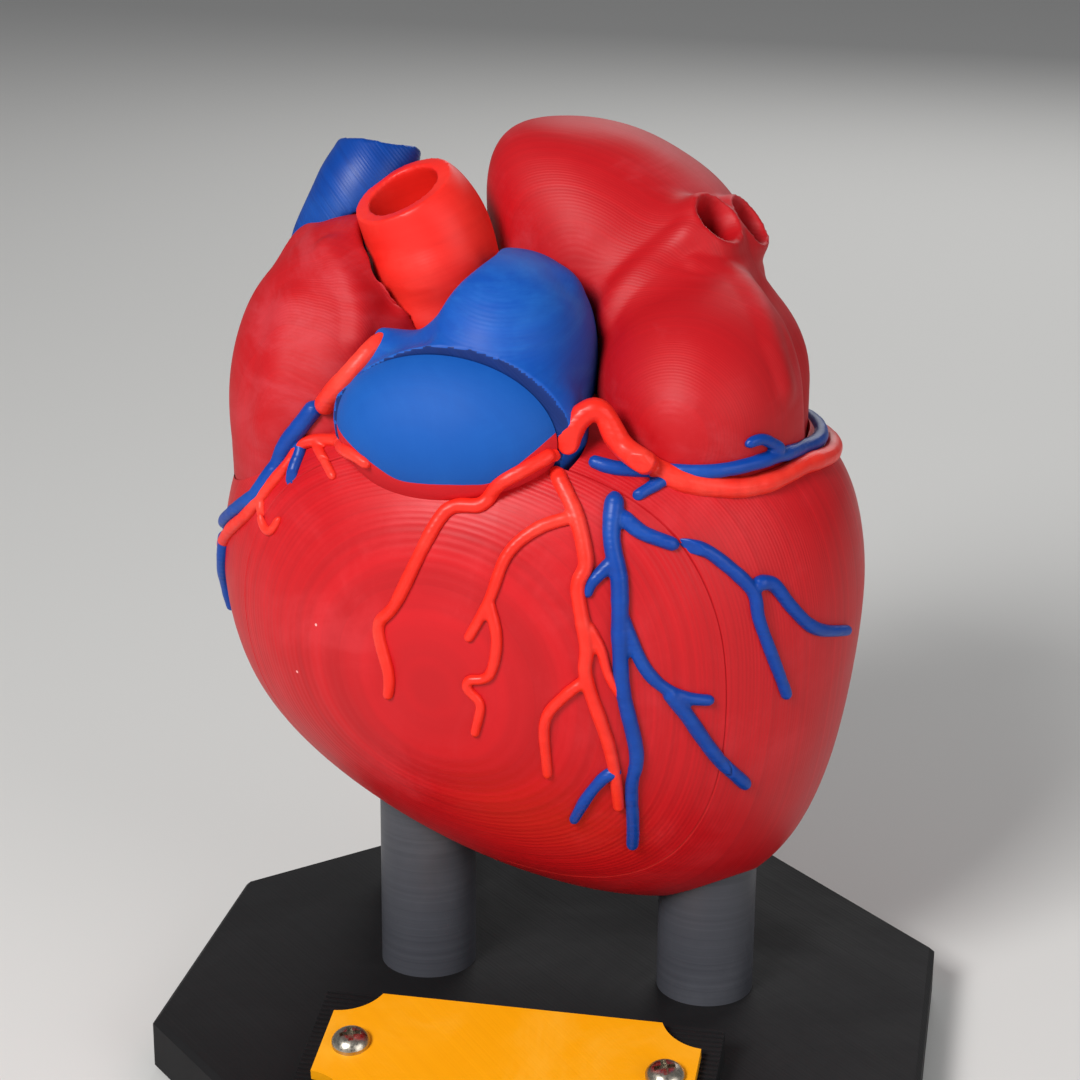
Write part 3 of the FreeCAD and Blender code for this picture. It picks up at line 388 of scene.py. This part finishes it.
def fill_creases(piece, line, radius, rounds, spared=()):
    """Raises every hollow near a line until the forms on both sides flow together.

    spared are places, each with its own radius, that keep their shape.
    """
    spots, links = skin_arrays(piece)
    weight = np.minimum(1, 2 * falloff(distance_to(spots, line), radius))
    for place, reach in spared:
        weight *= 1 - falloff(distance_to(spots, [place]), reach)
    for number in range(rounds):
        if number % NORMALS_LAST == 0:
            set_spots(piece, spots)
            normals = normals_of(piece)
        move = neighbour_means(spots, links) - spots
        lift = np.clip((move * normals).sum(axis=1), 0, None) * weight
        spots = spots + normals * lift[:, None]
    set_spots(piece, spots)


def rub(piece, line, radius, rounds):
    """Smooths the skin near a line."""
    spots, links = skin_arrays(piece)
    weight = 0.5 * falloff(distance_to(spots, line), radius)
    for _ in range(rounds):
        spots = spots + (neighbour_means(spots, links) - spots) * weight[:, None]
    set_spots(piece, spots)


def push(piece, strokes):
    """Moves the skin along its own normals: each stroke is a line of points, a radius and a height."""
    for line, radius, height in strokes:
        spots, _ = skin_arrays(piece)
        lift = falloff(distance_to(spots, line), radius) * height * MM
        set_spots(piece, spots + normals_of(piece) * lift[:, None])


def slide(piece, strokes):
    """Drags the skin: each stroke is a line of points, a radius and the move."""
    spots, _ = skin_arrays(piece)
    for line, radius, move in strokes:
        spots = spots + falloff(distance_to(spots, line), radius)[:, None] * np.array(move) * MM
    set_spots(piece, spots)


def tip(piece, centre, axis, degrees, radius):
    """Turns the skin about a centre, less and less out to the radius."""
    spots, _ = skin_arrays(piece)
    centre, axis = np.array(centre) * MM, np.array(Vector(axis).normalized())
    arm = spots - centre
    angle = (math.radians(degrees) * falloff(np.linalg.norm(arm, axis=1), radius))[:, None]
    turned = (arm * np.cos(angle) + np.cross(axis, arm) * np.sin(angle)
              + axis * (arm @ axis)[:, None] * (1 - np.cos(angle)))
    set_spots(piece, centre + turned)


def roughen(piece, to_the_metre, height):
    """Slow uneven swells, so many to the metre, as in a form modelled by hand."""
    spots, _ = skin_arrays(piece)
    swell = np.array([noise.noise(Vector(spot) * to_the_metre) for spot in spots]) * height * MM
    set_spots(piece, spots + normals_of(piece) * swell[:, None])


def hold_behind_cut(piece, gap):
    """Keeps the skin of a rear piece behind the cut face."""
    spots, _ = skin_arrays(piece)
    over = (spots - np.array(CUT_POINT)) @ np.array(CUT_NORMAL) + gap * MM
    set_spots(piece, spots - np.clip(over, 0, None)[:, None] * np.array(CUT_NORMAL))


# ---------------------------------------------------------------- the chambers and great vessels

TIPPING_AXIS = (1, 0.1, 0)

left_skin = modelled("left_atrium", 0.5, 3)
# The atrium's body flows into its appendage, and the mouths for the lung veins keep their shape.
SPOUT_MOUTHS = [((20.1, 12.0, 124.7), 6.5), ((23.6, 20.5, 122.9), 6.5), ((-14, 39, 123.8), 6.5),
                ((-17, 39, 111.3), 6.5)]
LEFT_CREASE = [(4.5, 3.0, 112), (6.9, 5.5, 117), (10.8, 8.0, 120.5), (15.1, 8.0, 121.5), (20, 10, 118.5),
               (25, 12.5, 116.5), (28, 19, 113)]
fill_creases(left_skin, LEFT_CREASE, 11, 160, SPOUT_MOUTHS)
rub(left_skin, LEFT_CREASE, 8, 20)
# Three low ridges: along the crease, below the two front mouths, and down the appendage's right side.
push(left_skin, [
    ([(15.5, 7.6, 123), (13.0, 6.5, 121), (10, 4.6, 118.6), (7.2, 3.0, 115.4), (5.2, 1.6, 111.6)], 3.0, 0.7),
    ([(17.5, 6.5, 118.6), (21.5, 8.3, 117.6), (24.6, 9.5, 115.5)], 2.5, 0.5),
    ([(24.6, 6.5, 116.5), (27, 1.5, 113.5), (29.0, -2.0, 110), (31, -3.5, 105)], 3.5, 0.7),
])
# The appendage's side drawn in, and the far left of the roof drawn out.
slide(left_skin, [
    ([(31, 12, 112.5), (33, 10, 107.5), (34, 9, 102)], 9, (-3.4, 0, 0)),
    ([(-16.7, 34, 131.8), (-18.5, 31, 127)], 6, (-1.4, -0.3, 0.7)),
])
roughen(left_skin, 90, 0.35)

right_skin = modelled("right_atrium", 0.5, 3)
# A lip beside the aorta, a hollow along it, and a swell down the front.
push(right_skin, [
    ([(-34, 2.0, 120.0), (-30.5, -1.8, 117.3), (-28.0, -3.6, 113.5), (-27.6, -6, 109)], 3.0, 0.9),
    ([(-26.2, 0.4, 117.2), (-24.2, -1.2, 113.6)], 3.2, -1.3),
    ([(-38, -4.5, 113), (-38.8, -8.5, 104), (-40.5, -8.6, 96)], 4.5, 0.6),
])
# The shoulders raised, and the side drawn in above and let out below.
slide(right_skin, [
    ([(-45, 18, 117.5), (-42, 13, 118)], 7, (0, 0.3, 2.2)),
    ([(-37, 9, 118.5), (-33, 9, 119)], 6, (0, 0, 0.7)),
    ([(-48, 15, 113), (-51, 15, 103)], 9, (1.8, 0, 0)),
    ([(-52, 10, 88), (-52, 10, 82)], 9, (-1.0, 0, 0)),
])
rub(right_skin, [(-31, 2, 120.5), (-28, -1.5, 117), (-25, -4, 113.5), (-22, -5, 111.5)], 4, 40)
roughen(right_skin, 90, 0.3)

trunk_skin = modelled("pulmonary_trunk", 0.32, 1)
TRUNK_CREASE = [(-17.6, -10.5, 112.8), (-13.5, -12, 114.6), (-8, -13.5, 115), (-2.6, -13, 113),
                (1.8, -11, 110), (5.0, -9, 106)]
# The trunk's neck drawn in on the left, its rim let out on the right and its flange on the left.
slide(trunk_skin, [
    ([(-17, -3, 119), (-18, -4, 115)], 11, (5.2, 0, 0)),
    ([(-17, 4, 120), (-19, 3, 115)], 10, (3.5, -0.5, 0)),
    ([(3.5, -1, 120)], 6, (1.0, 0, 0.6)),
    ([(-21.5, -8, 111.5), (-20, -6, 111)], 5, (-2.6, 0, 0.8)),
])
fill_creases(trunk_skin, TRUNK_CREASE, 12, 420)
# The flange's two ends raised, and its upper left edge drawn in.
slide(trunk_skin, [
    ([(-24, -8, 109.5)], 7, (-1.2, 0, 3.0)),
    ([(3.5, -17.5, 96.5)], 5, (-0.8, 0, 2.4)),
    ([(-26, -15, 105.5), (-22, -15.5, 110), (-17, -15, 112)], 3.5, (0.7, 0, -0.6)),
])
rub(trunk_skin, TRUNK_CREASE, 6, 20)
roughen(trunk_skin, 110, 0.2)
hold_behind_cut(trunk_skin, 0.12)
# The strip of cut face that stands proud of the dome is duller than the skin, and painted darker as shade.
trunk_skin.data.materials.append(blue_step_painted_shade)
FACES_OUT, LIES_WITHIN = 0.97, 0.4 * MM
for face in trunk_skin.data.polygons:
    if face.normal.dot(CUT_NORMAL) > FACES_OUT and (face.center - CUT_POINT).dot(CUT_NORMAL) > -LIES_WITHIN:
        face.material_index = 1

aorta_skin = modelled("aorta", 0.35, 4)
# The rim leans to the front, and a soft ring stands over a hollow near the root.
tip(aorta_skin, (-24.5, 7, 127.6), TIPPING_AXIS, 22, 19)
push(aorta_skin, [([(-28, 2, 116.5), (-21, -1, 117.5), (-13, 2, 118.5)], 3.5, 0.35),
                  ([(-27, 2, 112), (-19, -1, 112.5), (-11, 2, 113)], 3, -0.5)])
roughen(aorta_skin, 120, 0.3)

upper_vein_skin = modelled("superior_vena_cava", 0.35, 3)
# The rim leans to the back, and the foot is drawn down into the atrium.
tip(upper_vein_skin, (-30.3, 20, 132), TIPPING_AXIS, -30, 17)
slide(upper_vein_skin, [
    ([(-31, 18, 133)], 11, (0, 0, -1.3)),
    ([(-25, 20, 131)], 7, (0.4, 0, 1.0)),
    ([(-44, 17, 121)], 8, (-0.6, 0, 0)),
    ([(-35.5, 20, 114)], 17, (-0.7, -0.9, -4.6)),
])
roughen(upper_vein_skin, 120, 0.3)

lower_vein_skin = modelled("inferior_vena_cava", 0.35, 3)
# The upper end is drawn up into the atrium.
slide(lower_vein_skin, [([(-34.5, 28, 101)], 16, (0.4, -3.6, 3.4))])
roughen(lower_vein_skin, 120, 0.3)

# ---------------------------------------------------------------- drawing a vessel

SPACING = 0.5 * MM            # between two points of a branch
MM_PER_DEGREE = 0.6           # along the skin, for one degree round the heart's axis
OUTSIDE = 0.09                # metres from the axis, clear of the heart
WAVERS = [(260, 0.10), (900, 0.05)]   # in a bead's width: how many to the metre, and their share of it
PROUD = 0.12                  # how far a bead's middle stands off the skin, as a share of its width
BLUNT = 0.25                  # the narrowest a tip gets, as a share of the branch's radius
TIP_START = 0.1 * MM          # how far into its rounding a tip begins
EASING_ROUNDS = 3             # that even out a branch's points along the skin
BEAD_VOXEL, BEAD_SMOOTHING = 0.22, 4
SEAM_GAP = 0.1 * MM           # between a vessel's end and the cut face
SAME_PLACE, ON_PLANE = 0.001 * MM, 0.0001 * MM


def trail(places):
    """A smooth run of (angle, height, reach) through the places, closely spaced."""
    rows = [Vector((place[0], place[1], place[2] if len(place) > 2 else 0)) for place in places]
    rows = [rows[0] * 2 - rows[1]] + rows + [rows[-1] * 2 - rows[-2]]
    run = []
    for before, start, end, after in zip(rows, rows[1:], rows[2:], rows[3:]):
        length = math.hypot((end.x - start.x) * MM_PER_DEGREE, end.y - start.y) * MM
        steps = max(2, int(length / SPACING))
        for step in range(steps):
            t = step / steps
            spot = 0.5 * ((2 * start) + (end - before) * t
                          + (2 * before - 5 * start + 4 * end - after) * t ** 2
                          + (3 * start - before - 3 * end + after) * t ** 3)
            free = start.z and end.z
            run.append((spot.x, spot.y, spot.z if free else 0.0))
    run.append((rows[-2].x, rows[-2].y, rows[-2].z))
    return run


def on_skins(skins, angle, height, reach):
    """The outermost point of the skins at an angle and a height, or one at a given reach."""
    turned = math.radians(angle)
    outward = Vector((math.sin(turned), -math.cos(turned), 0))
    start = HEART + Vector((0, 0, height * MM))
    if reach:
        return start + outward * reach * MM
    best = 0.0
    for skin in skins:
        hit = skin.ray_cast(start + outward * OUTSIDE, -outward)[0]
        if hit is not None:
            best = max(best, (hit - start).dot(outward))
    return start + outward * best


def tube_along(points, radii):
    """A round tube through the points as a mesh, closed at both ends."""
    curve = bpy.data.curves.new("run", "CURVE")
    curve.dimensions = "3D"
    curve.bevel_depth = 1.0
    curve.bevel_resolution = 4
    curve.use_fill_caps = True
    spline = curve.splines.new("POLY")
    spline.points.add(len(points) - 1)
    for place, point, radius in zip(spline.points, points, radii):
        place.co = (*point, 1.0)
        place.radius = radius
    holder = bpy.data.objects.new("run", curve)
    bpy.context.scene.collection.objects.link(holder)
    graph = bpy.context.evaluated_depsgraph_get()
    mesh = bpy.data.meshes.new_from_object(holder.evaluated_get(graph))
    bpy.data.objects.remove(holder)
    return mesh


def wavering(spot, to_the_metre, seed):
    """Smooth noise from -1 to 1 at a place."""
    return noise.noise(spot * to_the_metre + Vector((seed, 2.3 * seed, 0)))


def branch_mesh(skins, diameter, first_share, last_share, places, seed):
    """One branch: laid on the skins, tapering, a little uneven in width, its tips rounded."""
    spots = [on_skins(skins, *place) for place in trail(places)]
    for _ in range(EASING_ROUNDS):
        eased = [(a + b * 2 + c) / 4 for a, b, c in zip(spots, spots[1:], spots[2:])]
        spots = [spots[0]] + eased + [spots[-1]]
    count = len(spots) - 1
    points, radii = [], []
    for index, spot in enumerate(spots):
        share = first_share + (last_share - first_share) * index / count
        uneven = 1 + sum(part * wavering(spot, to_the_metre, seed) for to_the_metre, part in WAVERS)
        width = diameter * share * uneven
        outward = Vector((spot.x - HEART.x, spot.y - HEART.y, 0)).normalized()
        from_tip = min(index, count - index) * SPACING
        round_off = math.sqrt(max(0.0, 1 - (1 - min(1.0, (from_tip + TIP_START) / (width / 2))) ** 2))
        points.append(spot + outward * width * PROUD)
        radii.append(width / 2 * max(BLUNT, round_off))
    return tube_along(points, radii)


def vessel(name, body, skins, diameter, branches, material):
    """A tree of branches, trimmed at the cut face and grown together where they meet."""
    form = bmesh.new()
    for seed, (first_share, last_share, places) in enumerate(branches):
        form.from_mesh(branch_mesh(skins, diameter * MM, first_share, last_share, places, seed))
    bmesh.ops.remove_doubles(form, verts=form.verts, dist=SAME_PLACE)
    bmesh.ops.recalc_face_normals(form, faces=form.faces)
    side = CUT_NORMAL if body == "front_wall" else -CUT_NORMAL
    cut = bmesh.ops.bisect_plane(form, geom=form.verts[:] + form.edges[:] + form.faces[:], dist=ON_PLANE,
                                 plane_co=CUT_POINT + side * SEAM_GAP, plane_no=side, clear_inner=True)
    rim = [edge for edge in cut["geom_cut"] if isinstance(edge, bmesh.types.BMEdge)]
    bmesh.ops.holes_fill(form, edges=rim, sides=0)
    bmesh.ops.recalc_face_normals(form, faces=form.faces)
    mesh = bpy.data.meshes.new(name + "_bead")
    form.to_mesh(mesh)
    form.free()
    piece = bpy.data.objects.new(name + "_bead", mesh)
    bpy.context.scene.collection.objects.link(piece)
    remeshed(piece, BEAD_VOXEL, BEAD_SMOOTHING)
    finish_with(piece, material)
    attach(piece, body)
    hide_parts(name)


def skin_of(piece):
    """A piece's skin, for laying vessels on."""
    mesh = piece.data
    return BVHTree.FromPolygons([vert.co for vert in mesh.vertices],
                                [face.vertices for face in mesh.polygons])


# ---------------------------------------------------------------- the coronary vessels

# Each branch has its first and last width as shares of the vessel's, and the places it runs through:
# degrees round the heart's axis from the front, positive to the viewer's right, then the height above
# the heart's middle, and where the branch leaves the skin its distance from the axis.
ANTERIOR_DESCENDING = [
    (1.1, 0.8, [(14, 29), (15, 26), (19, 21.5), (21, 15), (19, 12), (21, 3.5), (21, -1), (27, -12),
                (31, -22.5)]),
    (1.0, 0.75, [(14, 29), (6, 27), (0, 25), (-4, 22), (-11, 21.5), (-15, 19), (-23, 7.5), (-27, 4),
                 (-25, -3), (-26, -7)]),
    (0.9, 0.65, [(18, 21), (10, 19.5), (3, 16), (-1, 9.5), (-6, 3.5)]),
    (0.8, 0.6, [(-1, 9.5), (1, 4), (-1, -1.5), (-6, -2.2), (-6, -4), (-3, -5.6), (-5, -11)]),
    (0.8, 0.65, [(21, -1.2), (16, -4), (12, -8), (13, -17)]),
    (0.75, 0.6, [(21, 7), (24, 3.4), (26, -0.8), (31, -6)]),
]
LATERAL_TIP = (0.95, 0.8, [(38, -3), (42, -6.6), (50, -14.3), (59, -20.6)])
GREAT_CARDIAC = [
    (1.1, 0.7, [(29, 24), (27, 19.7), (27, 16.8), (28, 13), (28, 4.5), (29, -3), (33, -13), (33, -19),
                (37, -30)]),
    (0.85, 0.6, [(27, 15.5), (22, 12.5), (21, 10.5)]),
    (0.95, 0.8, [(29, 21.5), (33, 19.2), (36, 18.3), (41, 17)]),
    (0.8, 0.7, [(28, 8.5), (33, 0.7), (38, -3), (43, -4.7), (48, -5.4)]),
    LATERAL_TIP,
    (0.8, 0.6, [(30, -15.6), (27, -16.2), (23, -20), (20, -25)]),
]
LATERAL = [
    (0.9, 0.7, [(31, 20.4), (35, 18.8), (39, 17.3), (45, 16.6), (49, 14.7), (55, 10), (56, 6), (59, 0.4),
                (64, -7.3)]),
    (0.9, 0.65, [(55, 10.8), (59, 10.6), (63, 6.6), (69, 2.3), (80, -0.6)]),
    LATERAL_TIP,
]
CIRCUMFLEX = [
    (1.1, 0.8, [(17.7, 28.4, 27.2), (18.7, 31.2, 27.1), (21.5, 33.5, 27.1), (25.4, 34.6, 27.4),
                (28.3, 33.6, 27.8), (30.2, 31.2, 28.7), (32.6, 29.3, 29.8), (37.2, 27.5, 31.6), (43.6, 25.3),
                (50.2, 24.1), (57.4, 23.3), (65, 23.4), (76, 24), (89, 23.2), (100, 23), (115, 22),
                (130, 20.5)]),
]
CORONARY_SINUS = [
    (0.8, 1.1, [(24, 27.5), (32, 26.5), (49, 26.1), (66, 26.7), (80, 25.6), (92, 25), (100, 25), (115, 24.2),
                (130, 23), (150, 21), (170, 19.5)]),
    (0.85, 0.6, [(68, 27.3), (61, 30), (57, 29.5)]),
    (0.85, 0.6, [(44, 25.8), (38, 24.4), (33, 23.2)]),
]
MARGINAL = [
    (0.8, 0.9, [(-30, 26.3), (-35, 27.3), (-43, 27), (-57, 25.6), (-59, 21.3), (-65, 14.3), (-72, 10),
                (-79, 5.4)]),
    (0.7, 0.6, [(-55, 25.5), (-49, 24), (-44, 22.3)]),
    (0.7, 0.55, [(-62, 16.6), (-60, 13.6), (-57, 12.8), (-55, 15.5)]),
]
SMALL_CARDIAC = [
    (1.1, 0.9, [(-55, 31.4), (-57.3, 28), (-60.3, 24), (-63, 17.7), (-68, 14.6), (-79, 9)]),
    (0.8, 0.6, [(-58, 25.5), (-55, 19.2), (-57, 15), (-59, 11)]),
    (0.9, 0.7, [(-76, 8.5), (-78, 4), (-82, -1), (-84, -6)]),
]
RIGHT_CORONARY = [
    (0.95, 1.0, [(-43.7, 41.6, 25.5), (-42.5, 40, 28.8), (-43.4, 37.7, 31), (-46.9, 34.7, 32.8),
                 (-51, 32.6, 33.0), (-55.5, 30.4, 33.0)]),
]
ARTERY, VEIN, WIDE_ARTERY = 2.2, 2.5, 3.1

rear_skins = [skin_of(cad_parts["rear_heart_wall"]), skin_of(right_skin), skin_of(left_skin),
              skin_of(trunk_skin)]
front_skins = [skin_of(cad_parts[name]) for name in ("front_heart_wall", "conus_dome")]
all_skins = rear_skins + front_skins

# A branch that crosses the cut face is drawn for both bodies, and each keeps its own side.
vessel("anterior_descending_artery", "front_wall", front_skins, ARTERY, ANTERIOR_DESCENDING, artery)
vessel("great_cardiac_vein", "front_wall", all_skins, VEIN, GREAT_CARDIAC, vein)
vessel("front_marginal_artery", "front_wall", all_skins, ARTERY, MARGINAL, artery)
vessel("right_marginal_artery", "heart", all_skins, ARTERY, MARGINAL, artery)
vessel("lateral_vein", "heart", all_skins, VEIN, LATERAL, vein)
vessel("circumflex_artery", "heart", rear_skins, WIDE_ARTERY, CIRCUMFLEX, artery)
vessel("coronary_sinus_vein", "heart", rear_skins, VEIN, CORONARY_SINUS, vein)
vessel("small_cardiac_vein", "heart", rear_skins, VEIN, SMALL_CARDIAC, vein)
vessel("right_coronary_artery", "heart", rear_skins, WIDE_ARTERY, RIGHT_CORONARY, artery)

# ---------------------------------------------------------------- floor, light and camera

FLOOR_SIDE = 6   # metres
bpy.ops.mesh.primitive_plane_add(size=FLOOR_SIDE)
floor = bpy.context.object
floor.name = "floor"
# A pale matt floor that throws soft light up under the heart.
floor_material, floor_tree = new_material("pale_floor")
floor_surface = add(floor_tree, "BsdfPrincipled", {"Base Color": linear("D9D8D5"), "Roughness": 0.7})
add(floor_tree, "OutputMaterial", {"Surface": floor_surface.outputs[0]})
floor.data.materials.append(floor_material)

LIT_POINT = Vector((0, 0, 0.07))


def area_light(name, place, size, power):
    """A lamp with a rectangular face, in metres and watts, aimed at the heart."""
    data = bpy.data.lights.new(name, "AREA")
    data.shape = "RECTANGLE"
    data.size, data.size_y = size
    data.energy = power
    light = bpy.data.objects.new(name, data)
    facing = (place - LIT_POINT).to_track_quat("Z", "Y").to_matrix().to_4x4()
    light.matrix_world = Matrix.Translation(place) @ facing
    bpy.context.scene.collection.objects.link(light)


area_light("key", Vector((-0.30, -0.68, 0.60)), (0.28, 0.28), 9)
area_light("fill", Vector((0.75, -0.5, 0.35)), (0.6, 0.6), 2.8)
area_light("rim", Vector((0.1, 0.8, 0.5)), (0.6, 0.4), 2)

world = bpy.data.worlds.new("studio")
world.use_nodes = True
world.node_tree.nodes["Background"].inputs["Color"].default_value = linear("E6E8EC")
world.node_tree.nodes["Background"].inputs["Strength"].default_value = 0.22
bpy.context.scene.world = world
bpy.context.scene.view_settings.view_transform = "Standard"

CAMERA_PLACE = (63.04, -341.35, 198.37)
CAMERA_DOWN, CAMERA_LEFT, CAMERA_ROLL = 18.917, 10.936, 0.472   # degrees
camera_data = bpy.data.cameras.new("camera")
camera_data.sensor_width = 36
camera_data.lens = 85.56
camera_data.clip_start, camera_data.clip_end = 0.01, 20
camera = bpy.data.objects.new("camera", camera_data)
bpy.context.scene.collection.objects.link(camera)
pitch, yaw, roll = math.radians(90 - CAMERA_DOWN), math.radians(CAMERA_LEFT), math.radians(CAMERA_ROLL)
camera.matrix_world = (Matrix.Translation(Vector(CAMERA_PLACE) * MM) @ Matrix.Rotation(yaw, 4, "Z")
                       @ Matrix.Rotation(pitch, 4, "X") @ Matrix.Rotation(roll, 4, "Z"))
bpy.context.scene.camera = camera
